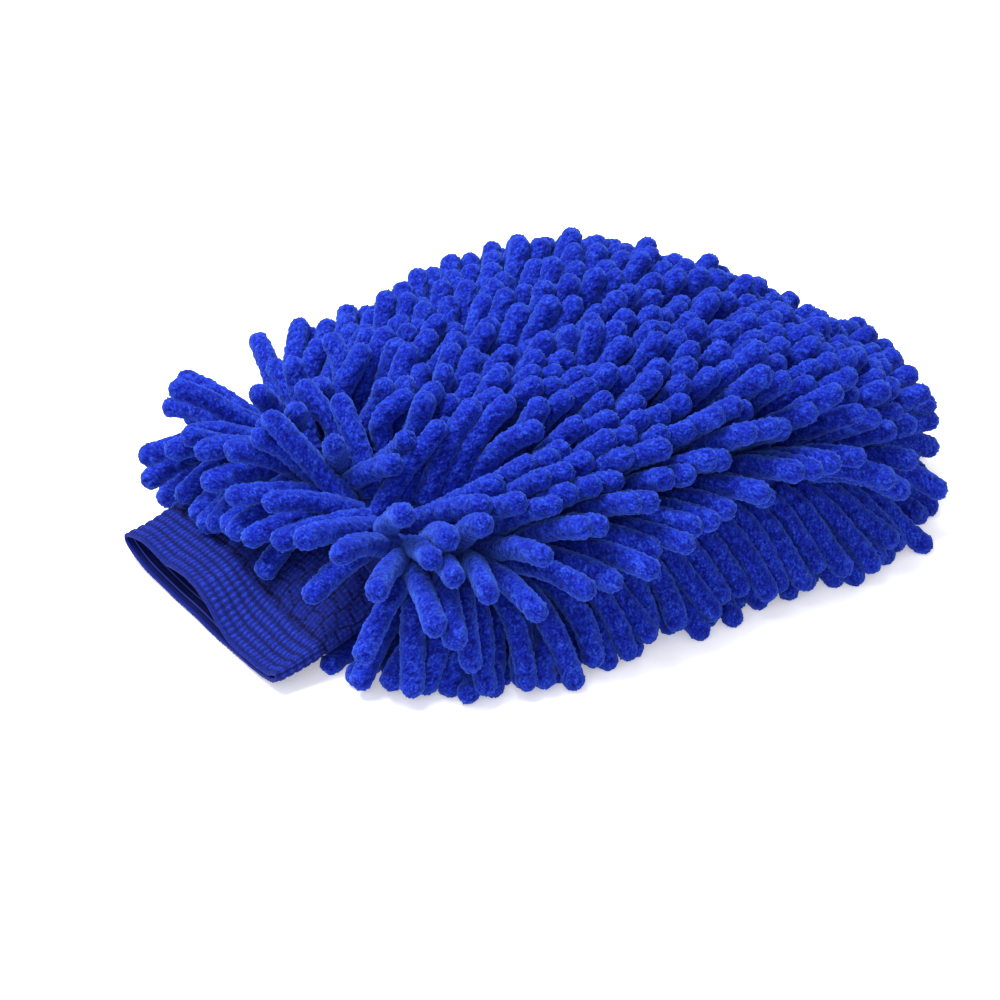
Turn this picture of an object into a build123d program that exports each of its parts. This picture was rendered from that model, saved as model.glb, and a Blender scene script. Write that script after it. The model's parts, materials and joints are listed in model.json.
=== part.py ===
from build123d import *
import math
import os

# Chenille wash mitt, lying on its palm. Millimetres.
# +X runs from the cuff to the fingertips, +Y across the mitt, +Z up. The origin is on
# the surface it lies on, under the middle of the whole mitt.

# Whole mitt
mitt_half_length = 140.0
fabric_gap = 0.3            # air between a noodle's root and the cloth it is tufted into

# Noodles
noodle_diameter = 8.5
noodle_length = 34.0        # over both rounded ends
yarn_diameter = 4.4         # the yarn that runs along a row, from noodle to noodle
row_pitch = 12.0            # between rows, and between noodles in a row

# Pocket: the sewn bag that the noodles cover
pocket_bottom = 17.5
pocket_height = 32.0
pocket_half_width = 70.0
pocket_edge_round = 15.0
pocket_rear = -90.0         # the open end, where the cuff is sewn in
neck_half_width = 60.0
neck_end = -82.0
shoulder_end = -72.0
shoulder_round = 16.0
fingertip_corner_round = 42.0
trim_allowance = 46.0       # the pocket's form runs this far past its open end

# Layers, as distances in from the pocket's outer surface
backing_thickness = 1.2
liner_outer = 1.35
liner_inner = 2.15
seam_outer = 2.4
seam_inner = 8.4
seam_thickness = 1.6
overlock_inner = 10.0
overlock_thickness = 2.2
seam_start = -72.0

# Cuff stations: x, height of the middle, width, height, corner round
cuff_stations = [
    (-90.5, 33.5, 110.0, 23.0, 11.0),
    (-112.0, 17.5, 109.0, 18.5, 8.8),
    (-140.0, 8.2, 106.0, 14.5, 6.9),
]
knit_wall = 1.5
welt_start = -122.0
welt_wall = 2.1
lip_start = -138.2
lip_outset = 0.6
lip_inset = 3.2
elastic_outer = 2.25
elastic_inner = 3.05
elastic_width = 1.1
elastic_pitch = 3.2
elastic_count = 5
first_elastic = -124.0

# Wrist seam, a band of stitching round the pocket's open end
seam_band_gap = 0.2
seam_band_wall = 1.0
seam_band_width = 3.0

# Upper rows: how far each row leans outwards, from the middle row to the side
upper_row_leans = [0.0, 7.0, 14.0, 22.0, 35.0]
upper_row_start = -76.0
upper_row_count = 15

# Edge levels: place on the pocket's rounded edge, and the noodle's direction, both in
# degrees from straight up
edge_levels = {"top": (25.0, 60.0), "high": (60.0, 95.0), "middle": (92.0, 118.0), "low": (120.0, 136.0)}
side_row_start = -72.0
side_row_count = 12
corner_angles = [9.0, 27.0, 45.0, 63.0, 81.0]
fingertip_row_half_count = 2

# Cuff-end row, which hangs over the cuff
cuff_row_x = -91.5
cuff_row_height = 55.3
cuff_row_droop = 110.0

# Lower rows, pressed flat under the mitt
lower_row_half_count = 4
lower_noodle_pitch = 26.0
lower_row_start = -78.0
lower_noodle_count = 7
floor_squash = 1.0          # how far a noodle is pressed flat on the surface
cutter_size = 400.0

# Worked out from the above
noodle_radius = noodle_diameter / 2
noodle_shaft = noodle_length - noodle_diameter
root_offset = fabric_gap + noodle_radius
pocket_top = pocket_bottom + pocket_height
pocket_middle = pocket_bottom + pocket_height / 2
upper_root_height = pocket_top + root_offset
lower_root_height = pocket_bottom - root_offset
root_round = pocket_edge_round + root_offset


def edge_root(level):
    """Where a noodle of an edge level is rooted: distance out from the outline, and height."""
    angle = math.radians(edge_levels[level][0])
    if angle < math.pi / 2:
        round_centre = pocket_top - pocket_edge_round
    else:
        round_centre = pocket_bottom + pocket_edge_round
    out = root_round * math.sin(angle) - pocket_edge_round
    return out, round_centre + root_round * math.cos(angle)


def edge_direction(level, outward):
    """Direction of a noodle of an edge level, where outward is the outline's plan normal."""
    angle = math.radians(edge_levels[level][1])
    out = math.sin(angle)
    return (outward[0] * out, outward[1] * out, math.cos(angle))


widest_out = edge_root("middle")[0]
widest_reach = math.sin(math.radians(edge_levels["middle"][1])) * noodle_shaft
pocket_front = mitt_half_length - widest_out - widest_reach - noodle_radius
corner_x = pocket_front - fingertip_corner_round
corner_y = pocket_half_width - fingertip_corner_round

os.makedirs("parts", exist_ok=True)


def write(part, name):
    """Label one sub-part and write its STEP file."""
    part.label = name
    export_step(part, "parts/" + name + ".step")


# ---------------------------------------------------------------- pocket

def pocket_sketch(inset):
    """The pocket's outline in the current plane, moved in by inset."""
    rear = pocket_rear - trim_allowance
    with BuildSketch(Plane.XY) as outline:
        with BuildLine():
            Polyline(
                (rear, -neck_half_width),
                (neck_end, -neck_half_width),
                (shoulder_end, -pocket_half_width),
                (pocket_front, -pocket_half_width),
                (pocket_front, pocket_half_width),
                (shoulder_end, pocket_half_width),
                (neck_end, neck_half_width),
                (rear, neck_half_width),
                close=True,
            )
        make_face()
        ends = outline.vertices().group_by(Axis.X)
        fillet(ends[-1], fingertip_corner_round)
        shoulders = [v for v in outline.vertices() if neck_end - 1 < v.X < shoulder_end + 1]
        fillet(shoulders, shoulder_round)
        rear_corners = outline.vertices().group_by(Axis.X)[0]
        fillet(rear_corners, shoulder_round)
        if inset > 0:
            offset(amount=-inset, mode=Mode.REPLACE)
    return outline.sketch


def pocket_form(inset):
    """A solid pillow, the pocket's outer surface moved in by inset."""
    outline = pocket_sketch(inset)
    with BuildPart() as form:
        with BuildSketch(Plane.XY.offset(pocket_bottom + inset)):
            add(outline)
        extrude(amount=pocket_height - 2 * inset)
        rims = form.faces().filter_by(Axis.Z).edges()
        fillet(rims, pocket_edge_round - inset)
    return form.part


def pocket_panel(outer_inset, inner_inset, side):
    """One half of a layer of the pocket, above or below the seam."""
    outer = pocket_form(outer_inset)
    inner = pocket_form(inner_inset)
    with BuildPart() as panel:
        add(outer)
        add(inner, mode=Mode.SUBTRACT)
        split(bisect_by=Plane.YZ.offset(pocket_rear), keep=Keep.TOP)
        split(bisect_by=Plane.XY.offset(pocket_middle), keep=side)
    return panel.part


def seam_strip(outer_inset, inner_inset, thickness):
    """A flat strip that follows the pocket's edge, inside it, open at the cuff."""
    outer = pocket_sketch(outer_inset)
    inner = pocket_sketch(inner_inset)
    with BuildPart() as strip:
        with BuildSketch(Plane.XY.offset(pocket_middle - thickness / 2)):
            add(outer)
            add(inner, mode=Mode.SUBTRACT)
        extrude(amount=thickness)
        split(bisect_by=Plane.YZ.offset(seam_start), keep=Keep.TOP)
    return strip.part


write(pocket_panel(0, backing_thickness, Keep.TOP), "upper_backing")
write(pocket_panel(0, backing_thickness, Keep.BOTTOM), "lower_backing")
write(pocket_panel(liner_outer, liner_inner, Keep.TOP), "upper_liner")
write(pocket_panel(liner_outer, liner_inner, Keep.BOTTOM), "lower_liner")
write(seam_strip(seam_outer, seam_inner, seam_thickness), "seam_allowance")
write(seam_strip(seam_inner, overlock_inner, overlock_thickness), "overlock_thread")

seam_band_plane = Plane(origin=(pocket_rear, 0, pocket_middle), x_dir=(0, 1, 0), z_dir=(1, 0, 0))
band_inner = (2 * (neck_half_width + seam_band_gap), pocket_height + 2 * seam_band_gap)
band_outer = (band_inner[0] + 2 * seam_band_wall, band_inner[1] + 2 * seam_band_wall)
band_round = pocket_edge_round + seam_band_gap
with BuildPart() as wrist_seam:
    with BuildSketch(seam_band_plane):
        RectangleRounded(band_outer[0], band_outer[1], band_round + seam_band_wall)
        RectangleRounded(band_inner[0], band_inner[1], band_round, mode=Mode.SUBTRACT)
    extrude(amount=seam_band_width)
write(wrist_seam.part, "wrist_seam")


# ---------------------------------------------------------------- cuff

def cuff_form(inset):
    """The cuff's outer form as one solid, moved in by inset."""
    with BuildPart() as form:
        for x, middle, width, height, corner in cuff_stations:
            with BuildSketch(Plane(origin=(x, 0, middle), x_dir=(0, 1, 0), z_dir=(1, 0, 0))):
                RectangleRounded(width - 2 * inset, height - 2 * inset, corner - inset)
        loft()
    return form.part


def cuff_lower_half():
    """Everything below the cuff's middle line, as a solid to cut with."""
    middle_line = [(x, middle) for x, middle, width, height, corner in cuff_stations]
    ends = [middle_line[-1][0] - row_pitch, middle_line[0][0] + row_pitch]
    with BuildPart() as half:
        with BuildSketch(Plane.XZ):
            with BuildLine():
                Polyline(
                    (ends[1], middle_line[0][1]),
                    *middle_line,
                    (ends[0], middle_line[-1][1]),
                    (ends[0], -cutter_size),
                    (ends[1], -cutter_size),
                    close=True,
                )
            make_face()
        extrude(amount=cutter_size / 2, both=True)
    return half.part


def slab(low_x, high_x):
    """A slice of space between two planes across the mitt."""
    with BuildPart() as slice_of_space:
        with BuildSketch(Plane.YZ.offset(low_x)):
            Rectangle(cutter_size, cutter_size)
        extrude(amount=high_x - low_x)
    return slice_of_space.part


def cuff_piece(outer_inset, inner_inset, slices, half_mode):
    """A layer of the cuff, cut to slices along X and to its upper or lower half."""
    outer = cuff_form(outer_inset)
    inner = cuff_form(inner_inset)
    slabs = [slab(low_x, high_x) for low_x, high_x in slices]
    lower_half = cuff_lower_half()
    with BuildPart() as piece:
        add(slabs)
        add(outer, mode=Mode.INTERSECT)
        add(inner, mode=Mode.SUBTRACT)
        add(lower_half, mode=half_mode)
    return piece.part


mouth_x = cuff_stations[-1][0]
throat_x = cuff_stations[0][0]
elastic_slices = []
for index in range(elastic_count):
    start = first_elastic - index * elastic_pitch
    elastic_slices.append((start - elastic_width, start))

cuff_layers = {
    "cuff_knit": (0, knit_wall, [(welt_start, throat_x)]),
    "cuff_welt": (0, welt_wall, [(lip_start, welt_start)]),
    "cuff_elastic": (elastic_outer, elastic_inner, elastic_slices),
    "cuff_lip": (-lip_outset, lip_inset, [(mouth_x, lip_start)]),
}
for layer_name, (outer_inset, inner_inset, slices) in cuff_layers.items():
    write(cuff_piece(outer_inset, inner_inset, slices, Mode.SUBTRACT), layer_name + "_upper")
    write(cuff_piece(outer_inset, inner_inset, slices, Mode.INTERSECT), layer_name + "_lower")


# ---------------------------------------------------------------- noodles

with BuildPart() as noodle:
    with BuildSketch(Plane.XZ):
        with BuildLine():
            CenterArc((0, 0), noodle_radius, -90, 90)
            Line((noodle_radius, 0), (noodle_radius, noodle_shaft))
            CenterArc((0, noodle_shaft), noodle_radius, 0, 90)
            Line((0, noodle_shaft + noodle_radius), (0, -noodle_radius))
        make_face()
    revolve(axis=Axis.Z)


def noodle_group(roots, direction_of, yarn):
    """Noodles at the given roots. With yarn, a straight yarn joins the first to the last."""
    frames = [Plane(origin=root, z_dir=direction_of(root)) for root in roots]
    first = Vector(*roots[0])
    run = Vector(*roots[-1]) - first
    with BuildPart() as group:
        with Locations(*frames):
            add(noodle.part)
        if yarn:
            with Locations(Plane(origin=first, z_dir=run)):
                Cylinder(yarn_diameter / 2, run.length, align=(Align.CENTER, Align.CENTER, Align.MIN))
    return group.part


def x_row(start, count, pitch, y, z):
    """Root points of a row along the mitt."""
    return [(start + index * pitch, y, z) for index in range(count)]


# Upper rows: nine, tufted into the flat top of the pocket, with every second one staggered
last_upper = len(upper_row_leans) - 1
for offset_from_middle in range(-last_upper, last_upper + 1):
    rank = abs(offset_from_middle)
    lean = math.copysign(math.radians(upper_row_leans[rank]), offset_from_middle)
    staggered = rank % 2
    start = upper_row_start + staggered * row_pitch / 2
    count = upper_row_count - (1 if staggered or rank == last_upper else 0)
    roots = x_row(start, count, row_pitch, offset_from_middle * row_pitch, upper_root_height)
    towards = (0, math.sin(lean), math.cos(lean))
    row = noodle_group(roots, lambda root, towards=towards: towards, yarn=True)
    write(row, f"upper_row_{offset_from_middle + last_upper + 1}")

# Side rows: four levels down each side
for side_name, side_sign in (("right", -1), ("left", 1)):
    for level in edge_levels:
        out, height = edge_root(level)
        y = side_sign * (pocket_half_width + out)
        roots = x_row(side_row_start, side_row_count, row_pitch, y, height)
        towards = edge_direction(level, (0, side_sign))
        row = noodle_group(roots, lambda root, towards=towards: towards, yarn=True)
        write(row, f"{side_name}_{level}_row")


# Fingertip rows: four levels round the closed end and its two corners
def fingertip_outward(root):
    """The outline's plan normal at a root near the fingertips."""
    beyond = abs(root[1]) - corner_y
    if beyond <= 0:
        return (1, 0)
    angle = math.atan2(beyond, root[0] - corner_x)
    return (math.cos(angle), math.copysign(math.sin(angle), root[1]))


for level in edge_levels:
    out, height = edge_root(level)
    ring = fingertip_corner_round + out
    roots = []
    for side_sign in (-1, 1):
        for degrees in corner_angles:
            angle = math.radians(degrees)
            y = side_sign * (corner_y + ring * math.sin(angle))
            roots.append((corner_x + ring * math.cos(angle), y, height))
    for index in range(-fingertip_row_half_count, fingertip_row_half_count + 1):
        roots.append((pocket_front + out, index * row_pitch, height))
    row = noodle_group(
        roots,
        lambda root, level=level: edge_direction(level, fingertip_outward(root)),
        yarn=False,
    )
    write(row, f"fingertip_{level}_row")

# Cuff-end row, across the mitt and over the cuff
droop = math.radians(cuff_row_droop)
cuff_row_roots = []
for index in range(-last_upper, last_upper + 1):
    cuff_row_roots.append((cuff_row_x, index * row_pitch, cuff_row_height))
cuff_row_towards = (-math.sin(droop), 0, math.cos(droop))
write(noodle_group(cuff_row_roots, lambda root: cuff_row_towards, yarn=True), "cuff_end_row")

# Lower rows: they lie towards the fingertips, with their tips pressed flat on the surface
tip_height = noodle_radius - floor_squash
lower_slope = math.asin((lower_root_height - tip_height) / noodle_shaft)
lower_towards = (math.cos(lower_slope), 0, -math.sin(lower_slope))
for index in range(-lower_row_half_count, lower_row_half_count + 1):
    roots = x_row(lower_row_start, lower_noodle_count, lower_noodle_pitch, index * row_pitch, lower_root_height)
    row = noodle_group(roots, lambda root: lower_towards, yarn=True)
    with BuildPart() as pressed_row:
        add(row)
        split(bisect_by=Plane.XY, keep=Keep.TOP)
    write(pressed_row.part, f"lower_row_{index + lower_row_half_count + 1}")

print("pocket front at x =", round(pocket_front, 2), "upper roots at z =", upper_root_height)
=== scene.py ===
import json
import math

import bpy
import numpy as np
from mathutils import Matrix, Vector

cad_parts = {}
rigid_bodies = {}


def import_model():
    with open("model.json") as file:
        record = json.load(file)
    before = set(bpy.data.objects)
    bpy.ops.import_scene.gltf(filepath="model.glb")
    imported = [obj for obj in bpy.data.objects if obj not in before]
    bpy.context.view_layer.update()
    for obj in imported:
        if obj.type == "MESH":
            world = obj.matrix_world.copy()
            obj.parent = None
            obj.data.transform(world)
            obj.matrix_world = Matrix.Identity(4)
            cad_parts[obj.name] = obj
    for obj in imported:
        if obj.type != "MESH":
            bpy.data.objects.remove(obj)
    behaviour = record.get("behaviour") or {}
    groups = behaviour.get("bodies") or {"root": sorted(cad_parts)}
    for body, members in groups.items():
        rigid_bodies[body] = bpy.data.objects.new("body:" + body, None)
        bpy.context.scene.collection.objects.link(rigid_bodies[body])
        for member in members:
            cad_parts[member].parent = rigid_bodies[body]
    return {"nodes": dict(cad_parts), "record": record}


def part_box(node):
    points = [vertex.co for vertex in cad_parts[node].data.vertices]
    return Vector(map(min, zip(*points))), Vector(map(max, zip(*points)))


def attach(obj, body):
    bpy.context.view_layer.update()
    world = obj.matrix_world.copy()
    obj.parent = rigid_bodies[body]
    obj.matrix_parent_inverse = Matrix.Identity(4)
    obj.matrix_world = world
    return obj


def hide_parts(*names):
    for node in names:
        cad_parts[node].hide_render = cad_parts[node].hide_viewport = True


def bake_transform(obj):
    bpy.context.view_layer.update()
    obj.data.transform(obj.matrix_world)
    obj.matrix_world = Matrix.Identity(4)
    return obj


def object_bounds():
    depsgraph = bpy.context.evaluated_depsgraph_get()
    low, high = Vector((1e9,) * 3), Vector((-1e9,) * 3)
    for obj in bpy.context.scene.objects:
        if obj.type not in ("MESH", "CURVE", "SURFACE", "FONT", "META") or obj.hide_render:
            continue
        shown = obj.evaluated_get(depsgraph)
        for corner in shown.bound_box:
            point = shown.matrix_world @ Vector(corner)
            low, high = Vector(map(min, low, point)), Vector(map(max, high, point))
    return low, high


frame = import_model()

# A chenille wash mitt lying on its palm. Lengths are millimetres until mesh_object() turns
# them into metres. +X runs from the cuff to the fingertips, +Y across, +Z up.

MM = 0.001
cad_box = [list(corner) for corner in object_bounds()]
pocket_low, pocket_high = (np.array(corner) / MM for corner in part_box("upper_backing"))
pocket_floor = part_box("lower_backing")[0][2] / MM
rng = np.random.default_rng(11)

# Pocket
rear_x = pocket_low[0] - 1.0
front_x = pocket_high[0] - 4.0
neck_half_width = 57.0
rear_half_width = 68.0
front_half_width = 67.0
shoulder_length = 24.0
closing_x = 30.0            # the pocket's fingertip end starts to close here
front_power = 2.2           # how square the plan's front corners are
edge_power = 3.8            # how quickly the thickness falls off towards the edge
pocket_middle_height = 28.0
pocket_half_thickness = 16.0

# Cuff
cuff_throat_x = rear_x + 5.0
cuff_mouth_x = cad_box[0][0] / MM + 0.6
cuff_half_width = 53.0
cuff_throat_height = 27.0
cuff_throat_half_height = 10.4
cuff_mouth_height = 7.4
cuff_mouth_half_height = 6.4
knit_thickness = 1.2
cuff_side_power = 0.5       # how square the cuff's outline is: across, then up
cuff_top_power = 2 / 2.2
cuff_columns = 500          # steps round the cuff
cuff_stations = 92          # steps along it
lip_radius = 0.75
elastic_lines = 5
elastic_spacing = 3.1
elastic_radius = 0.38

# Noodles
noodle_length = 38.0
noodle_radius = 3.75
row_pitch = 12.0
upper_row_spacing = 10.1
lower_row_spacing = 10.6
noodle_pitch = 8.0
hidden_noodle_pitch = 13.0  # under the palm, where the noodles lie flat
side_crowding = 0.35        # rows lie closer together down the sides
rim_pitch = 5.3             # between the noodles round the cuff end
knots = 8
settling_rounds = 300
pair_reach = 12.5           # noodles' points nearer than this are tested against each other
fine_mesh = (52, 36, 8)     # rings along a noodle, steps round it, rings of its tip
coarse_mesh = (34, 22, 6)   # the same for the noodles under the palm
tuft_height = 0.27
thread_turns = 105          # of the overlock stitching
crowns = np.array([(-80.0, 10.0), (-88.0, -29.0), (-82.0, 44.0)])


# ---------------------------------------------------------------- small tools

def smooth(t):
    """0 to 1 with level ends."""
    t = np.clip(t, 0, 1)
    return t * t * (3 - 2 * t)


def unit(v):
    return v / np.maximum(np.linalg.norm(v, axis=-1, keepdims=True), 1e-9)


def mesh_object(name, points, faces, body=None, replaces=(), attributes=None):
    """A smooth-shaded mesh from points in millimetres and a list of face arrays."""
    mesh = bpy.data.meshes.new(name)
    points = np.asarray(points, np.float64) * MM
    mesh.vertices.add(len(points))
    mesh.vertices.foreach_set("co", points.astype(np.float32).ravel())
    corners = np.concatenate([f.ravel() for f in faces])
    sizes = np.concatenate([np.full(len(f), f.shape[1]) for f in faces])
    starts = np.concatenate([[0], np.cumsum(sizes)[:-1]])
    mesh.loops.add(len(corners))
    mesh.loops.foreach_set("vertex_index", corners.astype(np.int32))
    mesh.polygons.add(len(sizes))
    mesh.polygons.foreach_set("loop_start", starts.astype(np.int32))
    mesh.polygons.foreach_set("loop_total", sizes.astype(np.int32))
    mesh.update(calc_edges=True)
    mesh.polygons.foreach_set("use_smooth", np.ones(len(sizes), bool))
    for key, values in (attributes or {}).items():
        layer = mesh.attributes.new(key, "FLOAT", "POINT")
        layer.data.foreach_set("value", np.asarray(values, np.float32).ravel())
    piece = bpy.data.objects.new(name, mesh)
    bpy.context.scene.collection.objects.link(piece)
    if body:
        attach(piece, body)
    if replaces:
        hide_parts(*replaces)
    return piece


def grid_faces(rows, columns, closed, first=0):
    """Quads of a grid of rows by columns, closed round the columns or open."""
    across = np.arange(columns if closed else columns - 1)
    r, c = np.meshgrid(np.arange(rows - 1), across, indexing="ij")
    after = (c + 1) % columns
    near, far = r * columns, (r + 1) * columns
    quads = np.stack([near + c, near + after, far + after, far + c], -1)
    return quads.reshape(-1, 4) + first


# ---------------------------------------------------------------- pocket form

def pocket_place(x):
    return (x - rear_x) / (front_x - rear_x)


def half_width_at(x):
    shoulder = smooth((x - rear_x) / shoulder_length)
    widening = neck_half_width + (rear_half_width - neck_half_width) * shoulder
    return widening + (front_half_width - rear_half_width) * smooth(pocket_place(x))


def sideways_at(x):
    """The pocket's middle line bends a little towards -Y."""
    return -8.0 * smooth((x - rear_x) / 40) - 12.0 * smooth((x - 5) / 95)


def middle_at(x):
    t = pocket_place(x)
    return pocket_middle_height - 1.6 + 7.0 * smooth(t * 1.5) - 12.5 * smooth(t * 2.3 - 1.3)


def thickness_at(x):
    t = pocket_place(x)
    return pocket_half_thickness * (0.78 + 0.42 * smooth(t * 1.6) - 0.62 * smooth(t * 2.2 - 1.2))


def plan_radius(x, y):
    """0 along the middle of the pocket's plan, 1 on its outline."""
    closing = np.clip((x - closing_x) / (front_x - closing_x), 0, None)
    across = np.abs(y - sideways_at(x)) / half_width_at(x)
    return (closing ** front_power + across ** front_power) ** (1 / front_power)


def pocket_field(p):
    """Below 0 inside the pocket, above 0 outside."""
    rho = plan_radius(p[..., 0], p[..., 1])
    zeta = np.abs(p[..., 2] - middle_at(p[..., 0])) / thickness_at(p[..., 0])
    return np.maximum(rho ** edge_power + zeta ** 2 - 1, (rear_x - p[..., 0]) / 8.0)


def gradient(field, p, step=0.05):
    result = np.empty(p.shape)
    for axis in range(3):
        shift = np.zeros(3)
        shift[axis] = step
        result[..., axis] = (field(p + shift) - field(p - shift)) / (2 * step)
    return result


def pocket_section(x, angle, inset):
    """Points round the pocket's section at x, moved in by inset."""
    closing = np.clip((x - closing_x) / (front_x - closing_x), 0, 0.9999)
    widest = half_width_at(x) * (1 - closing ** front_power) ** (1 / front_power)
    y = sideways_at(x) + widest * np.sign(np.cos(angle)) * np.abs(np.cos(angle)) ** (2 / edge_power)
    rho = np.minimum(plan_radius(x, y), 1)
    z = middle_at(x) + np.sign(np.sin(angle)) * thickness_at(x) * np.sqrt(1 - rho ** edge_power)
    p = np.stack([x + 0 * y, y, z], -1)
    return p - unit(gradient(pocket_field, p)) * inset


def seam_line(inset, count=420):
    """The pocket's outline moved in by inset, from the cuff round the fingertips and back."""
    half = np.sin(np.linspace(0, math.pi / 2, count // 2))
    x = rear_x + 16 + (front_x - inset - rear_x - 16.2) * half
    closing = np.clip((x - closing_x) / (front_x - inset - closing_x), 0, 1)
    y = (half_width_at(x) - inset) * (1 - closing ** front_power) ** (1 / front_power)
    x = np.concatenate([x, x[::-1]])
    y = np.concatenate([y, -y[::-1]]) + sideways_at(x)
    return np.stack([x, y, middle_at(x)], 1)


# ---------------------------------------------------------------- cuff form

def cuff_place(x):
    return (cuff_throat_x - x) / (cuff_throat_x - cuff_mouth_x)


def cuff_middle_at(x):
    left = np.clip(1 - cuff_place(x), 0, 2)
    return cuff_mouth_height + (cuff_throat_height - cuff_mouth_height) * left ** 1.5


def cuff_half_height_at(x):
    t = np.clip(cuff_place(x), 0, 1)
    return cuff_throat_half_height + (cuff_mouth_half_height - cuff_throat_half_height) * t


def cuff_field(p):
    across = (np.abs(p[..., 1]) / cuff_half_width) ** 4
    up = (np.abs(p[..., 2] - cuff_middle_at(p[..., 0])) / cuff_half_height_at(p[..., 0])) ** 2.2
    return np.maximum(across + up - 1, (p[..., 0] - cuff_throat_x) / 6.0)


# ---------------------------------------------------------------- noodle roots

def row_curve(y0, side, phase):
    """A tufting row over one panel, gently wavy, as points along the pocket's surface."""
    x = rear_x + (front_x - rear_x) * np.sin(np.linspace(0, math.pi / 2, 500))
    sway = np.sin(x / 31.0 + phase) * smooth((front_half_width - abs(y0)) / 20)
    y = y0 + sideways_at(x) + sway
    rho = plan_radius(x, y)
    inside = rho < 0.9995
    x, y, rho = x[inside], y[inside], rho[inside]
    z = middle_at(x) + side * thickness_at(x) * np.sqrt(1 - rho ** edge_power)
    return np.stack([x, y, z], 1)


def spaced(curve, pitch, start):
    """Points every pitch along a curve."""
    steps = np.linalg.norm(np.diff(curve, axis=0), axis=1)
    along = np.concatenate([[0], np.cumsum(steps)])
    places = np.arange(start, along[-1], pitch)
    return np.stack([np.interp(places, along, curve[:, axis]) for axis in range(3)], 1)


def row_places(side, pitch):
    """y of each row, evenly spaced along the arc of a cross-section."""
    x = np.array(0.0)
    y = np.linspace(0, half_width_at(x) * 0.9995, 2000)
    rho = plan_radius(np.full_like(y, x), y)
    z = thickness_at(x) * np.sqrt(np.clip(1 - rho ** edge_power, 0, 1))
    across, fall = np.diff(y), np.diff(z)
    crowding = 1 + side_crowding * np.abs(fall) / np.hypot(across, fall)
    along = np.concatenate([[0], np.cumsum(np.hypot(across, fall) * crowding)])
    count = round(along[-1] / pitch)
    if side > 0:
        places = np.arange(count + 1) * along[-1] / (count + 0.45)
    else:
        places = (np.arange(count) + 0.5) * along[-1] / count
    places = np.interp(places, along, y)
    return [-v for v in places[::-1] if v > 0.01] + list(places)


def lay_out_roots():
    """Root points of every noodle, and the panel each is on: 1 upper, -1 lower."""
    roots, panels = [], []
    for side, pitch in ((1, upper_row_spacing), (-1, lower_row_spacing)):
        for index, y0 in enumerate(row_places(side, pitch)):
            curve = row_curve(y0, side, 0.6 * index)
            if len(curve) < 5:
                continue
            hidden = side < 0 and abs(y0) < 0.88 * half_width_at(0.0)
            gap = hidden_noodle_pitch if hidden else noodle_pitch
            points = spaced(curve, gap, 1.0 + (index % 2) * gap / 2)
            points = points + rng.normal(0, 0.35, points.shape) * [1, 1, 0]
            roots.append(points)
            panels += [side] * len(points)
    angle = np.linspace(-0.12, math.pi + 0.12, 400)
    rim = pocket_section(np.full_like(angle, rear_x + 1.2), angle, 0.0)
    rim = spaced(rim, rim_pitch, rim_pitch / 2)
    seam = spaced(seam_line(0.0), noodle_pitch, 3.0)
    roots = np.concatenate(roots + [rim, seam])
    panels = np.array(panels + [2] * len(rim) + [1] * len(seam))
    clear = (cuff_field(roots) > 0.12) | (panels == 2)
    return roots[clear], panels[clear]


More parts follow.
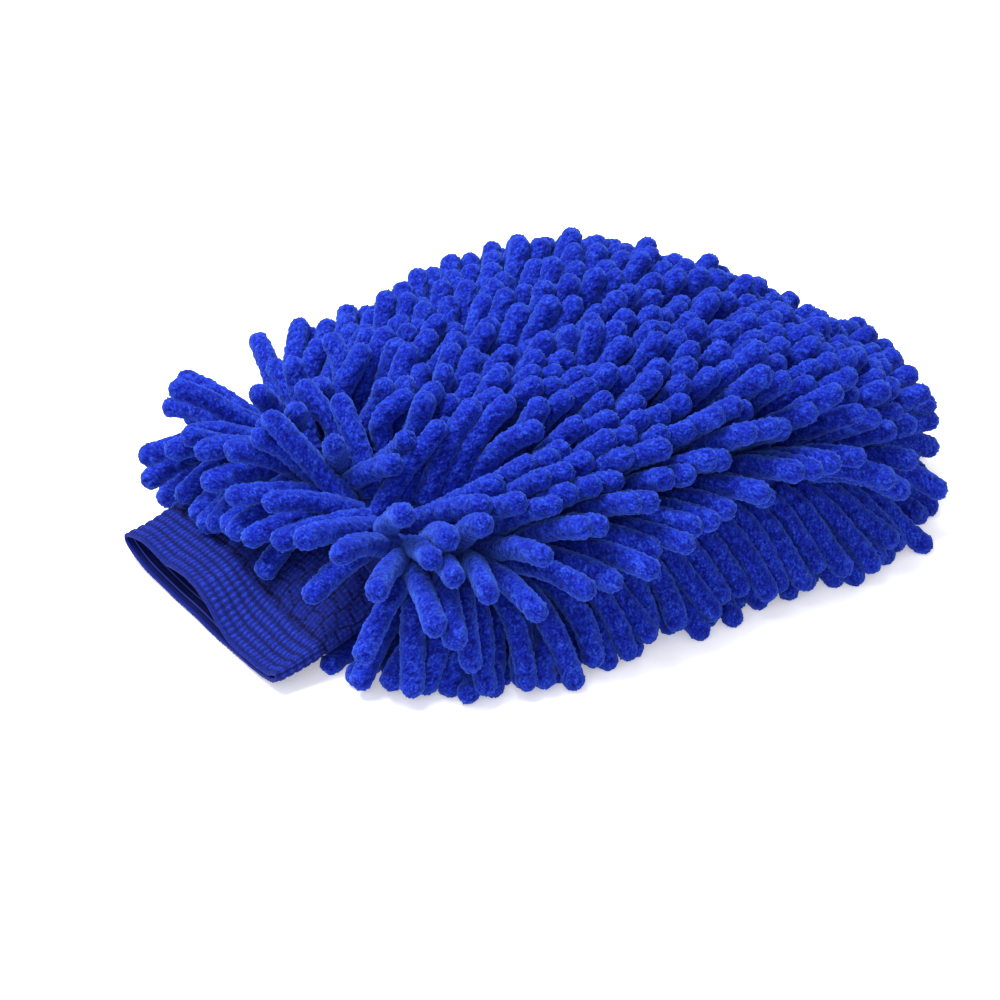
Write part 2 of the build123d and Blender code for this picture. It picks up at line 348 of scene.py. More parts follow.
def comb(roots, panels):
    """Each noodle's direction at its root, and the pocket's normal there."""
    normal = unit(gradient(pocket_field, roots))
    lie = normal.copy()
    upper = (normal[:, 2] > -0.3)[:, None]
    plan = roots[:, :2]
    distance = np.linalg.norm(plan[:, None, :] - crowns[None], axis=2)
    away = plan - crowns[distance.argmin(1)]
    away = away / np.maximum(np.linalg.norm(away, axis=1, keepdims=True), 1)
    whorl = np.zeros_like(lie)
    near = distance.min(1)
    whorl[:, :2] = away * ((1.3 + 0.7 * smooth(near / 30)) * np.exp(-(near / 66.0) ** 1.8))[:, None]
    behind = smooth((crowns[distance.argmin(1), 0] + 3 - plan[:, 0]) / 9)[:, None]
    lie = lie * (1 - 0.45 * behind) + whorl * upper
    lie[:, 0] -= 0.9 * behind[:, 0]
    # Noodles under the pocket lie flat, pointing outwards.
    outwards = unit(plan - np.array([10.0, 0.0]))
    splay = np.zeros_like(lie)
    splay[:, :2] = outwards * 1.3
    lie = np.where((normal[:, 2] < -0.2)[:, None], lie * 0.45 + splay, lie)
    # Down the sides they hang, and along the top edge they lean out over the sides.
    edge = np.clip(1.15 - np.abs(normal[:, 2]), 0, 1)
    lie[:, 2] -= 0.42 * edge
    lie[:, :2] += outwards * (0.42 * edge * (normal[:, 2] > 0.1))[:, None]
    lie[:, 0] += 0.20 * (normal[:, 2] > 0.3) * smooth((roots[:, 0] + 50) / 60)
    # The far rear corner hangs lower.
    far_rear = smooth((roots[:, 1] - 15) / 35) * smooth((25 - roots[:, 0]) / 50)
    far_rear = far_rear * (normal[:, 2] > 0.3)
    lie += far_rear[:, None] * np.array([0.60, 0.30, -0.50])
    # Towards the fingertips the sides lean forward, most of all in their lowest rows.
    low_side = smooth((0.5 - normal[:, 2]) / 0.5)
    lie[:, 0] += (0.30 + 0.35 * low_side) * edge * smooth((roots[:, 0] + 75) / 50)
    lie[:, :2] += outwards * (0.22 * low_side * (normal[:, 2] > -0.2))[:, None]
    # Round the cuff end they lie back over the cuff, and the near corner fans out.
    rim = panels == 2
    lie[rim] = lie[rim] * 0.5 + np.array([-0.9, 0, 0.15])
    lie[rim, 1] -= 0.45 * smooth((-32 - roots[rim, 1]) / 20)
    corner = smooth((-60 - roots[:, 0]) / 22) * smooth((-30 - roots[:, 1]) / 22)
    corner = corner * (panels != 2)
    lie += corner[:, None] * np.array([-0.60, -0.25, 0.0])
    lie[:, 0] += 0.25 * smooth((roots[:, 0] - 55) / 40) * (normal[:, 2] > 0.3)
    # Broad waves in the nap of the top, then a little scatter everywhere.
    u, v = roots[:, 0] / 34.0, roots[:, 1] / 27.0
    facing_up = normal[:, 2] > 0
    lie[:, 0] += 0.12 * np.sin(u * 1.4 + 0.9 * v) * facing_up
    lie[:, 1] += 0.14 * np.sin(v * 1.5 - 0.6 * u + 1.0) * facing_up
    lie += rng.normal(0, 0.06, lie.shape)
    return unit(lie), normal


# ---------------------------------------------------------------- settling the pile

def near_pairs(points, owner, reach):
    """Pairs of points of different noodles that are nearer than reach."""
    found = []
    order = np.argsort(points[:, 0], kind="stable")
    p = points[order].astype(np.float32)
    own = owner[order]
    for start in range(0, len(p), 400):
        stop = min(start + 400, len(p))
        last = np.searchsorted(p[:, 0], p[stop - 1, 0] + reach)
        gap = p[start:stop, None, :] - p[None, start:last, :]
        i, j = np.nonzero(np.einsum("ijk,ijk->ij", gap, gap) < reach * reach)
        good = (j > i) & (own[start + i] != own[start + j])
        found.append(np.stack([order[start + i[good]], order[start + j[good]]]))
    return np.concatenate(found, axis=1)


def push_out(field, p, clearance):
    """Points nearer than clearance to a field's surface, moved out."""
    value = field(p)
    near = value < 1.2
    slope = gradient(field, p[near])
    size = np.maximum(np.linalg.norm(slope, axis=-1), 1e-3)
    depth = np.clip(clearance[near] - value[near] / size, 0, 2.0)
    p[near] = p[near] + slope / size[:, None] * depth[:, None]
    return p


def settle(roots, lie, length, radius, rounds, gravity, hold=0.35, squeeze=0.96, press=0.6):
    """Noodles as chains of points that hold their direction, sag, and push each other apart."""
    count = len(roots)
    link = (length - radius) / (knots - 1)
    x = roots[:, None, :] + lie[:, None, :] * (link[:, None] * np.arange(knots))[..., None]
    owner = np.repeat(np.arange(count), knots)
    thick = np.repeat(radius, knots)
    place = np.tile(np.arange(knots), count)
    movable = (place >= 1)[:, None]
    free = place >= 2
    for turn in range(rounds):
        late = float(smooth((turn / rounds - 0.6) / 0.35))
        x[:, 1:, 2] -= gravity[:, None] * (1 - 0.6 * late)
        heading = lie
        for k in range(1, knots):
            target = x[:, k - 1] + heading * link[:, None]
            x[:, k] += (hold * (1 - 0.65 * late) if k > 1 else 0.6) * (target - x[:, k])
            heading = unit(x[:, k] - x[:, k - 1])
        p = x.reshape(-1, 3)
        if turn % 12 == 0:
            i, j = near_pairs(p, owner, pair_reach)
        for _ in range(2):
            gap = p[i] - p[j]
            distance = np.linalg.norm(gap, axis=1) + 1e-6
            overlap = (thick[i] + thick[j]) * squeeze - distance
            hit = overlap > 0
            push = gap[hit] / distance[hit, None] * (0.4 * overlap[hit, None])
            move = np.stack([
                np.bincount(i[hit], push[:, a], len(p)) - np.bincount(j[hit], push[:, a], len(p))
                for a in range(3)
            ], 1)
            size = np.linalg.norm(move, axis=1, keepdims=True)
            p += move * np.minimum(1, 2.5 / np.maximum(size, 1e-6)) * movable
        q = push_out(pocket_field, p[free], thick[free] * 0.9)
        q = push_out(cuff_field, q, thick[free] * 0.95)
        q[:, 2] = np.maximum(q[:, 2], thick[free] - press)
        p[free] = q
        x = p.reshape(count, knots, 3)
        for k in range(1, knots):
            x[:, k] = x[:, k - 1] + link[:, None] * unit(x[:, k] - x[:, k - 1])
    x[:, :, 2] = np.maximum(x[:, :, 2], (radius - press)[:, None])
    return x


# ---------------------------------------------------------------- noodle meshes

def blur(values, times):
    """Smooths noise laid out as noodle, ring, step round the ring."""
    for _ in range(times):
        values = (np.roll(values, 1, 2) + 2 * values + np.roll(values, -1, 2)) / 4
        ends = np.pad(values, ((0, 0), (1, 1), (0, 0)), mode="edge")
        values = (ends[:, :-2] + 2 * ends[:, 1:-1] + ends[:, 2:]) / 4
    return values / values.std()


def noodle_points(chains, radius, rings, around, cap_rings):
    """Points of every noodle's surface, their tuft heights, and the number of rings."""
    count = len(chains)
    place = np.linspace(0, knots - 1, rings)
    i = np.minimum(place.astype(int), knots - 2)
    f = (place - i)[None, :, None]
    line = chains[:, i] * (1 - f) + chains[:, i + 1] * f
    for _ in range(int(0.022 * rings * rings)):
        line[:, 1:-1] = (line[:, :-2] + 2 * line[:, 1:-1] + line[:, 2:]) / 4
    tangent = unit(np.gradient(line, axis=1))
    tip, tip_tangent = line[:, -1], tangent[:, -1]
    cap = np.linspace(0, math.pi / 2, cap_rings + 1)[1:-1]
    cap_line = tip[:, None] + tip_tangent[:, None] * (radius[:, None] * np.sin(cap))[..., None]
    line = np.concatenate([line, cap_line], 1)
    tangent = np.concatenate([tangent, np.repeat(tip_tangent[:, None], len(cap), 1)], 1)
    swell = np.concatenate([np.ones(rings), np.cos(cap)])
    total = line.shape[1]
    side = np.empty_like(line)
    start = np.cross(tangent[:, 0], np.array([0.31, 0.87, 0.38]))
    side[:, 0] = unit(start)
    for r in range(1, total):
        last = side[:, r - 1]
        side[:, r] = unit(last - (last * tangent[:, r]).sum(-1, keepdims=True) * tangent[:, r])
    other = np.cross(tangent, side)
    angle = np.linspace(0, 2 * math.pi, around, endpoint=False)
    fine = rng.standard_normal((count, total, around))
    broad = blur(rng.standard_normal((count, total, around)), 2)
    tuft = np.clip(0.8 * fine + 0.35 * broad, -2.0, 2.0)
    lump = 1 + 0.025 * np.sin(np.linspace(0, 9, total)[None] + rng.uniform(0, 6, (count, 1)))
    reach = radius[:, None] * lump * swell[None]
    cosine, sine = (f(angle)[None, None, :, None] for f in (np.cos, np.sin))
    outward = side[:, :, None] * cosine + other[:, :, None] * sine
    dome = np.concatenate([np.zeros(rings), np.sin(cap)])
    sideways = outward * np.maximum(swell, 0.15)[None, :, None, None]
    facing = unit(sideways + tangent[:, :, None] * dome[None, :, None, None])
    points = line[:, :, None] + outward * reach[:, :, None, None]
    points = points + facing * (tuft_height * tuft)[..., None]
    pole = tip + tip_tangent * radius[:, None]
    points = np.concatenate([points.reshape(count, -1, 3), pole[:, None]], 1)
    tuft = np.concatenate([tuft.reshape(count, -1), np.zeros((count, 1))], 1)
    return points, tuft, total


def noodle_object(name, chains, radius, coarse, body, replaces):
    """One row's noodles as one mesh."""
    rings, around, cap_rings = coarse_mesh if coarse else fine_mesh
    points, tuft, total = noodle_points(chains, radius, rings, around, cap_rings)
    per = points.shape[1]
    quads = grid_faces(total, around, closed=True)
    last = (total - 1) * around + np.arange(around)
    fan = np.stack([last, np.roll(last, -1), np.full(around, per - 1)], 1)
    base = np.arange(around)[::-1][None]
    shift = (np.arange(len(chains)) * per)[:, None, None]
    faces = [(quads[None] + shift).reshape(-1, 4), (fan[None] + shift).reshape(-1, 3)]
    faces.append((base[None] + shift).reshape(-1, around))
    return mesh_object(
        name, points.reshape(-1, 3), faces, body, replaces, {"tuft": tuft}
    )


def home_nodes(roots, normal):
    """The CAD node that each noodle belongs to, from where it is rooted."""
    lean = np.degrees(np.arccos(np.clip(normal[:, 2], -1, 1)))
    row = np.clip(np.round(roots[:, 1] / row_pitch), -4, 4).astype(int) + 5
    below = lean > 140
    cuff_end = ~below & (roots[:, 0] < rear_x + 8) & (lean < 72)
    above = ~below & ~cuff_end & (lean < 20) & (np.abs(roots[:, 1]) < 4.5 * row_pitch)
    homes = np.array([
        f"upper_row_{r}" if a else f"lower_row_{r}" for r, a in zip(row, above)
    ], dtype="U24")
    homes[cuff_end] = "cuff_end_row"
    rest = ~(below | cuff_end | above)
    front = roots[:, 0] > 70
    left = roots[:, 1] > 0
    for name, region in (("fingertip", front), ("left", ~front & left), ("right", ~front & ~left)):
        mine = np.nonzero(rest & region)[0]
        level = np.searchsorted(np.quantile(lean[mine], (0.25, 0.5, 0.75)), lean[mine])
        homes[mine] = [f"{name}_{('top', 'high', 'middle', 'low')[k]}_row" for k in level]
    return homes


body_of_node = {
    node: body
    for body, nodes in frame["record"]["behaviour"]["bodies"].items() for node in nodes
}
roots, panels = lay_out_roots()
lie, normal = comb(roots, panels)
length = noodle_length * (1 + np.clip(rng.normal(0, 0.06, len(roots)), -0.12, 0.12))
radius = noodle_radius * (1 + np.clip(rng.normal(0, 0.04, len(roots)), -0.1, 0.1))
sag = 0.10 + 0.42 * np.clip(1.15 - np.abs(normal[:, 2]), 0, 1) ** 2
chains = settle(roots, lie, length, radius, settling_rounds, sag)
homes = home_nodes(roots, normal)
noodle_nodes = [n for n in frame["nodes"] if n.endswith("_row") or "_row_" in n]
for node in noodle_nodes:
    mine = homes == node
    body = body_of_node[node]
    over_cuff = body == "cuff_end_pile"
    pile = noodle_object(
        f"pile_{node}", chains[mine], radius[mine], node.startswith("lower"),
        None if over_cuff else body, [node],
    )
    if over_cuff:
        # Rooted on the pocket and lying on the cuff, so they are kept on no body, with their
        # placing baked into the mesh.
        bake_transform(pile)

# ---------------------------------------------------------------- cloths

def shell(
    name, outer, inner, body=None, replaces=(), attributes=None, closed=False
):
    """A thin solid between two grids of points, with its open edges closed by strips."""
    rows, columns = outer.shape[:2]
    size = rows * columns
    points = np.concatenate([outer.reshape(-1, 3), inner.reshape(-1, 3)])
    skin = grid_faces(rows, columns, closed)
    faces = [skin, skin[:, ::-1] + size]
    borders = [np.arange(columns), np.arange(columns) + (rows - 1) * columns]
    if not closed:
        borders += [np.arange(rows) * columns, np.arange(rows) * columns + columns - 1]
    for number, line in enumerate(borders):
        after = np.roll(line, -1) if closed else line[1:]
        before = line if closed else line[:-1]
        strip = np.stack([before, before + size, after + size, after], 1)
        faces.append(strip if number in (0, 3) else strip[:, ::-1])
    if attributes:
        attributes = {
            key: np.concatenate([v.ravel(), v.ravel() * 0]) for key, v in attributes.items()
        }
    return mesh_object(name, points, faces, body, replaces, attributes)


def tube(path, radius, around=8, closed=False):
    """Points and quads of a round thread along a path."""
    if closed:
        tangent = unit(np.roll(path, -1, 0) - np.roll(path, 1, 0))
    else:
        tangent = unit(np.gradient(path, axis=0))
    side = unit(np.cross(tangent, [0.12, 0.23, 0.97]))
    other = np.cross(tangent, side)
    angle = np.linspace(0, 2 * math.pi, around, endpoint=False)[:, None]
    ring = side[:, None] * np.cos(angle) + other[:, None] * np.sin(angle)
    points = path[:, None] + ring * radius
    faces = grid_faces(len(path), around, closed=True)
    if closed:
        last = (len(path) - 1) * around + np.arange(around)
        first = np.arange(around)
        join = np.stack([last, np.roll(last, -1), np.roll(first, -1), first], 1)
        faces = np.concatenate([faces, join])
    return points.reshape(-1, 3), faces


def joined(parts):
    """Several point and face lists as one."""
    points, faces, count = [], [], 0
    for p, f in parts:
        points.append(p)
        faces.append(f + count)
        count += len(p)
    return np.concatenate(points), np.concatenate(faces)


def pocket_grid(start, stop, inset, rows=110, columns=120):
    """The pocket's surface from one angle of its section to another."""
    along = np.linspace(0, math.pi / 2, rows)
    x = rear_x + 0.6 + (front_x - 0.6 - inset - rear_x) * np.sin(along)
    angle = np.linspace(start, stop, columns)
    x, angle = np.meshgrid(x, angle, indexing="ij")
    return pocket_section(x, angle, inset)


for side, start in (("upper", 0.0), ("lower", math.pi)):
    cloth = shell(
        f"{side}_cloth",
        pocket_grid(start, start + math.pi, 0.0), pocket_grid(start, start + math.pi, 1.1),
        "mitt_body", [f"{side}_backing"],
    )
    lining = shell(
        f"{side}_lining",
        pocket_grid(start, start + math.pi, 1.5), pocket_grid(start, start + math.pi, 2.0),
        "mitt_body", [f"{side}_liner"],
    )


outer_line, inner_line = seam_line(2.6), seam_line(8.4)
up = np.array([0, 0, 0.7])
section = [outer_line + up, inner_line + up, inner_line - up, outer_line - up]
ring = np.stack(section, 1).reshape(-1, 3)
tape_faces = grid_faces(len(outer_line), 4, closed=True)
ends = np.array([[3, 2, 1, 0], [len(ring) - 4, len(ring) - 3, len(ring) - 2, len(ring) - 1]])
mesh_object("seam_tape", ring, [tape_faces, ends], "mitt_body", ["seam_allowance"])

stitch = np.linspace(0, 1, 1500)
edge_line = seam_line(8.4, 1500)
turn = stitch * 2 * math.pi * thread_turns
into = unit(seam_line(9.4, 1500) - edge_line)
thread_path = edge_line + into * (0.9 * np.sin(turn) - 0.3)[:, None]
thread_path = thread_path + np.array([0, 0, 1.0]) * (1.15 * np.cos(turn))[:, None]
points, faces = tube(thread_path, 0.32, 6)
mesh_object("overlock_stitching", points, [faces], "mitt_body", ["overlock_thread"])


# ---------------------------------------------------------------- cuff

mouth_wave = np.array([  # y across the mouth, then how far the upper layer dips below an even oval
    (-53, 0.0), (-46, 6.2), (-38, 8.6), (-28, 9.3), (-20, 9.2), (-13, 6.8), (-6, 2.4),
    (1, -0.8), (8, -1.6), (15, -0.2), (22, 1.3), (30, 0.8), (40, 0.0), (53, 0.0),
])


def section_angles():
    """Angles evenly spaced along the cuff's outline."""
    angle = np.linspace(0, 2 * math.pi, 8001)
    y = cuff_half_width * np.sign(np.cos(angle)) * np.abs(np.cos(angle)) ** cuff_side_power
    z = 9.0 * np.sign(np.sin(angle)) * np.abs(np.sin(angle)) ** cuff_top_power
    along = np.concatenate([[0], np.cumsum(np.hypot(np.diff(y), np.diff(z)))])
    return np.interp(np.arange(cuff_columns) / cuff_columns * along[-1], along, angle), along[-1]


def cuff_ring(x, angle):
    """Points of the cuff's outline, with the soft wave of its mouth."""
    wide = cuff_half_width + 0.8 * np.sin(x / 9.0) * 0.4
    y = wide * np.sign(np.cos(angle)) * np.abs(np.cos(angle)) ** cuff_side_power
    rise = np.abs(np.sin(angle)) ** cuff_top_power
    height = cuff_half_height_at(x)
    fade = smooth((cuff_place(x) - 0.30) / 0.70)
    dip = np.interp(y, mouth_wave[:, 0], mouth_wave[:, 1])
    ripple = 0.5 * np.sin(y / 6.3 + x / 11.0) + 0.35 * np.sin(y / 3.9 - x / 7.0)
    full = 2 * height * rise
    over = np.maximum(full - (dip * fade + ripple * rise * 0.8), np.minimum(2.6, full))
    under = height * rise - 0.35 * ripple * rise
    z = cuff_middle_at(x) + np.where(np.sin(angle) >= 0, over - height * rise, -under)
    return np.stack([x + 0 * y, y, z], -1)


def cuff_surface(x, angle, inset, relief=None):
    """The cuff's surface, moved in by inset and out by relief."""
    p = cuff_ring(x, angle)
    along = np.gradient(p, axis=0)
    round_it = (np.roll(p, -1, 1) - np.roll(p, 1, 1))
    outward = unit(np.cross(round_it, along))
    centre = np.array([0, 0, 1]) * cuff_middle_at(x)[..., None]
    from_centre = p - centre - np.array([1, 0, 0]) * p[..., :1]
    flip = np.sign((from_centre * outward).sum((0, 1)).sum())
    outward = outward * flip
    move = -inset if relief is None else relief - inset
    return p + outward * (move[..., None] if relief is not None else move)


def knit_relief(x, length_round):
    """Raised bumps of the welt near the mouth, then a finer waffle knit with cracks."""
    from_mouth = x - cuff_mouth_x
    rib = np.arange(cuff_columns)[None] / cuff_columns * length_round + 0 * x
    welt = smooth((17.5 - from_mouth) / 1.2) * smooth((from_mouth - 1.0) / 1.0)
    course = 0.5 + 0.5 * np.cos(2 * math.pi * from_mouth / 3.1)
    wale = 0.5 + 0.5 * np.cos(2 * math.pi * rib / 2.25)
    bumps = np.sqrt(course * wale)
    groove = smooth(1 - np.abs(from_mouth - 18.2) / 1.0)
    wave = 0.8 * np.sin(rib / 5.0) + 0.6 * np.sin(from_mouth / 3.7)
    waffle = (0.5 + 0.5 * np.cos(2 * math.pi * (rib + wave * 0.4) / 1.9)) * (
        0.5 + 0.5 * np.cos(2 * math.pi * (from_mouth + wave * 0.5) / 1.75))
    cell_a = np.floor((rib + 1.5 * np.sin(from_mouth / 2.9)) / 7.3)
    edge_a = np.abs((rib + 1.5 * np.sin(from_mouth / 2.9)) / 7.3 - cell_a - 0.5)
    course_b = from_mouth + 1.2 * np.sin(rib / 3.3) + 2.0 * np.sin(cell_a * 2.1)
    edge_b = np.abs(course_b / 4.9 % 1 - 0.5)
    crack = np.maximum(smooth((edge_a - 0.44) / 0.06), smooth((edge_b - 0.42) / 0.08))
    knit = 0.30 * np.sqrt(waffle) - 0.30 * crack
    return 1.25 * (welt * (0.55 * bumps - 0.1) + (1 - welt) * knit - 0.2 * groove)


angles, length_round = section_angles()
stations = np.linspace(cuff_mouth_x + 0.4, cuff_throat_x - 1.0, cuff_stations)
x, angle = np.meshgrid(stations, angles, indexing="ij")
relief = knit_relief(x, length_round)
from_mouth = x - cuff_mouth_x
inside_lines = 0.16 * np.cos(2 * math.pi * from_mouth / 1.55) * smooth((15 - from_mouth) / 2)
outer = cuff_surface(x, angle, 0.0, relief)
inner = cuff_surface(x, angle, knit_thickness, inside_lines)
cuff_pieces = []
knit = shell("cuff_tube", outer, inner, None, [
    "cuff_knit_upper", "cuff_knit_lower", "cuff_welt_upper", "cuff_welt_lower"],
    {"relief": relief}, closed=True)
cuff_pieces.append(knit)

beside = np.array([[-0.1], [0.0], [0.1]])   # three sections close together, for the slope
lip_x = np.full((3, cuff_columns), cuff_mouth_x + 0.9) + beside
lip_path = cuff_surface(lip_x, np.repeat(angles[None], 3, 0), knit_thickness * 0.5)[1]
points, faces = tube(lip_path, lip_radius, 12, closed=True)
lip = mesh_object(
    "cuff_rolled_lip", points, [faces], None, ["cuff_lip_upper", "cuff_lip_lower"]
)
cuff_pieces.append(lip)

rings = []
for index in range(elastic_lines):
    ring_x = np.full((3, cuff_columns), cuff_mouth_x + 3.4 + elastic_spacing * index) + beside
    path = cuff_surface(ring_x, np.repeat(angles[None], 3, 0), knit_thickness + 0.25)[1]
    rings.append(tube(path[::2], elastic_radius, 6, closed=True))
points, faces = joined(rings)
elastic = mesh_object(
    "cuff_elastic_threads", points, [faces], None,
    ["cuff_elastic_upper", "cuff_elastic_lower"],
)
cuff_pieces.append(elastic)

# The tube's middle surface leans, so the layers part along its normal.
for piece in cuff_pieces:
    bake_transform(piece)

# The band that joins the pocket to the cuff, gathered by its stitching
band_x = np.linspace(rear_x - 7, rear_x + 9, 26)
band_x, band_angle = np.meshgrid(band_x, angles[::2], indexing="ij")
cuff_part = cuff_ring(band_x, band_angle)
pocket_part = pocket_section(np.maximum(band_x, rear_x + 0.7), band_angle, 0.4)
pocket_part[..., 0] = band_x
blend_in = smooth((band_x - (rear_x - 5)) / 12)[..., None]
band = cuff_part * (1 - blend_in) + pocket_part * blend_in
gather = (0.35 * np.cos(band_angle * 46))[..., None]
centre = np.stack([band_x, 0 * band_x, cuff_middle_at(band_x)], -1)
away = unit(band - centre)
wrist = shell(
    "wrist_band", band + away * (0.9 + gather), band + away * (0.1 + gather),
    None, ["wrist_seam"], closed=True,
)
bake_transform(wrist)


# ---------------------------------------------------------------- materials

def nodes_of(name):
    material = bpy.data.materials.new(name)
    material.use_nodes = True
    tree = material.node_tree
    shader = tree.nodes["Principled BSDF"]
    return material, tree, shader


def noise(tree, scale, detail=2.0, rough=0.5, vector=None):
    node = tree.nodes.new("ShaderNodeTexNoise")
    node.inputs["Scale"].default_value = scale
    node.inputs["Detail"].default_value = detail
    node.inputs["Roughness"].default_value = rough
    if vector:
        tree.links.new(vector, node.inputs["Vector"])
    return node.outputs["Fac"]


def grains(tree, scale, vector):
    """Rounded cells: 0 at the middle of each, towards 1 at its edge."""
    node = tree.nodes.new("ShaderNodeTexVoronoi")
    node.inputs["Scale"].default_value = scale
    tree.links.new(vector, node.inputs["Vector"])
    return node.outputs["Distance"]


def ramp(tree, fac, stops):
    node = tree.nodes.new("ShaderNodeValToRGB")
    while len(node.color_ramp.elements) < len(stops):
        node.color_ramp.elements.new(0.5)
    for element, (place, colour) in zip(node.color_ramp.elements, stops):
        element.position = place
        element.color = (*colour, 1)
    tree.links.new(fac, node.inputs["Fac"])
    return node.outputs["Color"]


def mix_colour(tree, kind, fac, a, b):
    node = tree.nodes.new("ShaderNodeMix")
    node.data_type = "RGBA"
    node.blend_type = kind
    if isinstance(fac, (int, float)):
        node.inputs[0].default_value = fac
    else:
        tree.links.new(fac, node.inputs[0])
    tree.links.new(a, node.inputs[6])
    tree.links.new(b, node.inputs[7])
    return node.outputs[2]


def bump(tree, height, strength, distance, normal=None):
    node = tree.nodes.new("ShaderNodeBump")
    node.inputs["Strength"].default_value = strength
    node.inputs["Distance"].default_value = distance
    tree.links.new(height, node.inputs["Height"])
    if normal:
        tree.links.new(normal, node.inputs["Normal"])
    return node.outputs["Normal"]


def object_coordinates(tree):
    return tree.nodes.new("ShaderNodeTexCoord").outputs["Object"]


def attribute(tree, name):
    node = tree.nodes.new("ShaderNodeAttribute")
    node.attribute_name = name
    return node.outputs["Fac"]


def chenille_material():
    material, tree, shader = nodes_of("chenille_pile")
    place = object_coordinates(tree)
    # The pile's colour follows each point's tuft height: painted shade where the surface dips
    # between tufts, painted light on the raised tufts.
    spread = tree.nodes.new("ShaderNodeMapRange")
    spread.inputs["From Min"].default_value = -1.6
    spread.inputs["From Max"].default_value = 1.6
    tree.links.new(attribute(tree, "tuft"), spread.inputs["Value"])
    pile = ramp(tree, spread.outputs["Result"], [
        (0.0, (0.0015, 0.006, 0.24)), (0.5, (0.009, 0.032, 0.52)), (1.0, (0.030, 0.088, 0.70))])
    broad = noise(tree, 70.0, 3.0, 0.6, place)
    clumps = ramp(tree, broad, [(0.3, (0.86, 0.86, 0.90)), (0.7, (1.0, 1.0, 1.0))])
    cells = grains(tree, 1300.0, place)
    # Painted shade between granules: full colour at each granule's middle, darker towards its edge.
    granule_edge_shade = ramp(tree, cells, [(0.20, (1.0, 1.0, 1.0)), (0.72, (0.34, 0.34, 0.42))])
    colour = mix_colour(tree, "MULTIPLY", 1.0, pile, clumps)
    colour = mix_colour(tree, "MULTIPLY", 1.0, colour, granule_edge_shade)
    tree.links.new(colour, shader.inputs["Base Color"])
    fibres = noise(tree, 3000.0, 3.0, 0.7, place)
    tufted = bump(tree, cells, -0.6, 0.0005)
    tree.links.new(bump(tree, fibres, 0.6, 0.0005, tufted), shader.inputs["Normal"])
    shader.inputs["Roughness"].default_value = 0.92
    shader.inputs["Specular IOR Level"].default_value = 0.12
    shader.inputs["Sheen Weight"].default_value = 0.65
    shader.inputs["Sheen Roughness"].default_value = 0.35
    shader.inputs["Sheen Tint"].default_value = (0.12, 0.28, 1.0, 1)
    return material


def cloth_material(
    name, dark, light, scale, depth, roughness=0.85, specular=0.2, attribute_name=None
):
    material, tree, shader = nodes_of(name)
    place = object_coordinates(tree)
    mottle = noise(tree, scale, 3.0, 0.6, place)
    if attribute_name:
        # With an attribute, the colour follows the relief: painted shade in the hollows, painted
        # light on the raised parts.
        spread = tree.nodes.new("ShaderNodeMapRange")
        spread.inputs["From Min"].default_value = -0.15
        spread.inputs["From Max"].default_value = 0.50
        tree.links.new(attribute(tree, attribute_name), spread.inputs["Value"])
        base = ramp(tree, spread.outputs["Result"], [(0.0, dark), (1.0, light)])
        fine = ramp(tree, mottle, [(0.35, (0.35, 0.35, 0.4)), (0.62, (1, 1, 1))])
        colour = mix_colour(tree, "MULTIPLY", 1.0, base, fine)
    else:
        colour = ramp(tree, mottle, [(0.3, dark), (0.7, light)])
    tree.links.new(colour, shader.inputs["Base Color"])
    weave = noise(tree, scale * 1.6, 2.0, 0.5, place)
    tree.links.new(bump(tree, weave, 0.7, depth), shader.inputs["Normal"])
    shader.inputs["Roughness"].default_value = roughness
    shader.inputs["Specular IOR Level"].default_value = specular
    return material


chenille = chenille_material()
backing = cloth_material(
    "tufted_backing", (0.006, 0.020, 0.27), (0.018, 0.050, 0.46), 1400.0, 0.0004)
lining = cloth_material(
    "woven_lining", (0.006, 0.014, 0.14), (0.012, 0.026, 0.22), 2200.0, 0.0002, 0.6, 0.35)
# The knit's colour follows its relief: painted shade in the grooves and cracks, painted light on
# the welt's bumps and the waffle.
knitting = cloth_material(
    "ribbed_knit", (0.0006, 0.0018, 0.040), (0.012, 0.034, 0.40), 1500.0, 0.0005, 0.85, 0.12,
    "relief")
lip_cloth = cloth_material(
    "rolled_lip", (0.002, 0.006, 0.11), (0.005, 0.015, 0.20), 3000.0, 0.0001, 0.8, 0.12)
sewing_thread = cloth_material(
    "sewing_thread", (0.003, 0.009, 0.14), (0.008, 0.022, 0.26), 2600.0, 0.0002, 0.6, 0.3)
elastic_thread = cloth_material(
    "covered_elastic", (0.006, 0.013, 0.17), (0.010, 0.022, 0.25), 3000.0, 0.0001, 0.5, 0.35)
material_of = {
    "pile": chenille, "upper_cloth": backing, "lower_cloth": backing, "seam": backing,
    "upper_lining": lining, "lower_lining": lining,
    "overlock": sewing_thread, "wrist": sewing_thread,
    "cuff_tube": knitting, "cuff_rolled": lip_cloth, "cuff_elastic": elastic_thread,
}
for piece in bpy.data.objects:
    for start, material in material_of.items():
        if piece.type == "MESH" and piece.name.startswith(start) and not piece.data.materials:
            piece.data.materials.append(material)


# ---------------------------------------------------------------- floor, light and camera

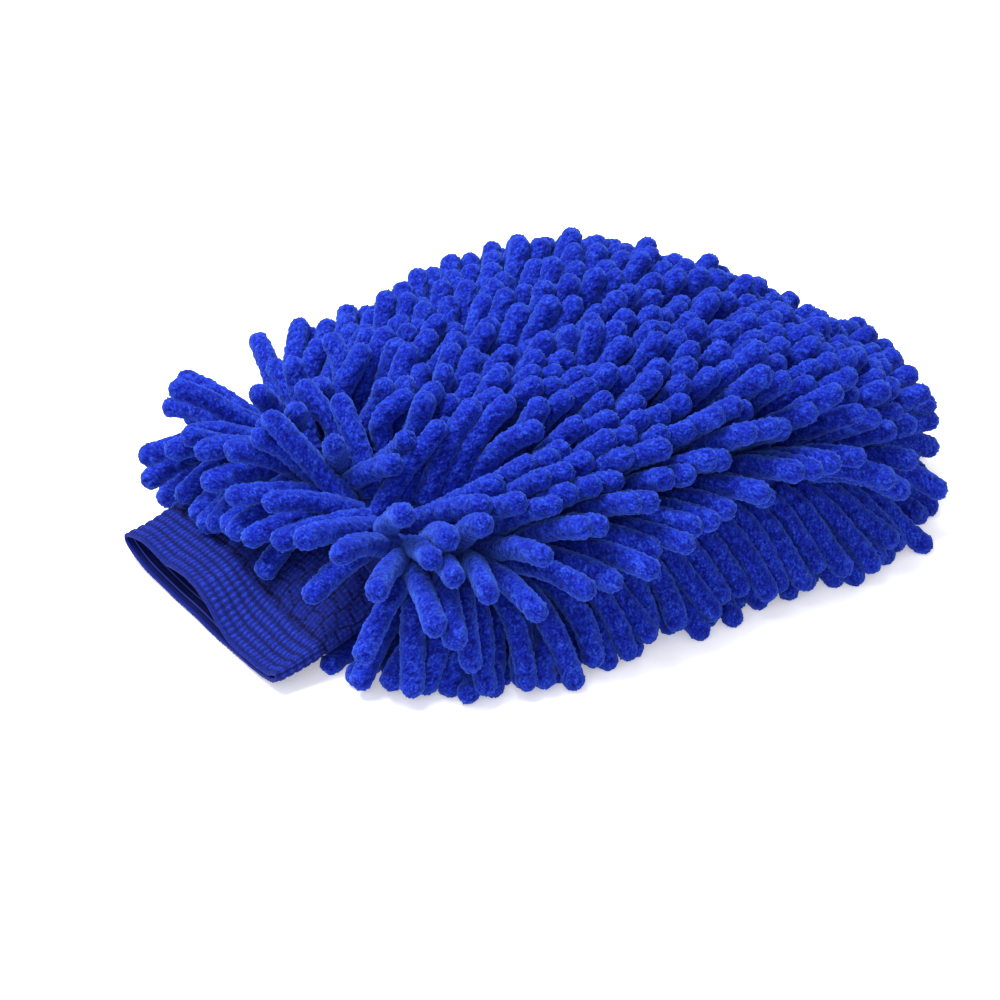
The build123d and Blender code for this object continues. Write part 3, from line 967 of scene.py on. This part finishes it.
floor_mesh = bpy.data.meshes.new("floor")
floor_mesh.from_pydata([(-6, -6, 0), (6, -6, 0), (6, 6, 0), (-6, 6, 0)], [], [(0, 1, 2, 3)])
floor = bpy.data.objects.new("floor", floor_mesh)
bpy.context.scene.collection.objects.link(floor)
floor_material, _, floor_shader = nodes_of("pale_floor")
floor_shader.inputs["Base Color"].default_value = (0.93, 0.93, 0.93, 1)
floor_shader.inputs["Emission Color"].default_value = (1, 1, 1, 1)
floor_shader.inputs["Emission Strength"].default_value = 0.34
floor_shader.inputs["Roughness"].default_value = 0.9
floor_mesh.materials.append(floor_material)

world = bpy.data.worlds.new("studio")
bpy.context.scene.world = world
world.use_nodes = True
world.node_tree.nodes["Background"].inputs["Color"].default_value = (1, 1, 1, 1)
world.node_tree.nodes["Background"].inputs["Strength"].default_value = 0.72


def softbox(name, place, size, power, target=(0, 0, 0.03)):
    light = bpy.data.lights.new(name, "AREA")
    light.shape = "RECTANGLE"
    light.size, light.size_y = size
    light.energy = power
    lamp = bpy.data.objects.new(name, light)
    lamp.location = place
    lamp.rotation_euler = (Vector(target) - Vector(place)).to_track_quat("-Z", "Y").to_euler()
    bpy.context.scene.collection.objects.link(lamp)
    return lamp


softbox("key", (-0.30, 0.20, 1.0), (0.55, 0.55), 19.0)
softbox("fill", (-0.9, -0.9, 0.8), (0.9, 0.7), 6.0)

camera_azimuth, camera_elevation = math.radians(-33.9), math.radians(30.1)
camera_distance = 0.9466
camera_target = Vector((-0.0383, -0.0308, 0.030))
away = Vector((
    math.sin(camera_azimuth) * math.cos(camera_elevation),
    -math.cos(camera_azimuth) * math.cos(camera_elevation),
    math.sin(camera_elevation),
))
camera = bpy.data.objects.new("camera", bpy.data.cameras.new("camera"))
camera.location = camera_target + away * camera_distance
camera.rotation_euler = (-away).to_track_quat("-Z", "Y").to_euler()
camera.data.angle = math.radians(20.28)
camera.data.clip_end = 50
bpy.context.scene.collection.objects.link(camera)
bpy.context.scene.camera = camera
bpy.context.scene.view_settings.view_transform = "Standard"
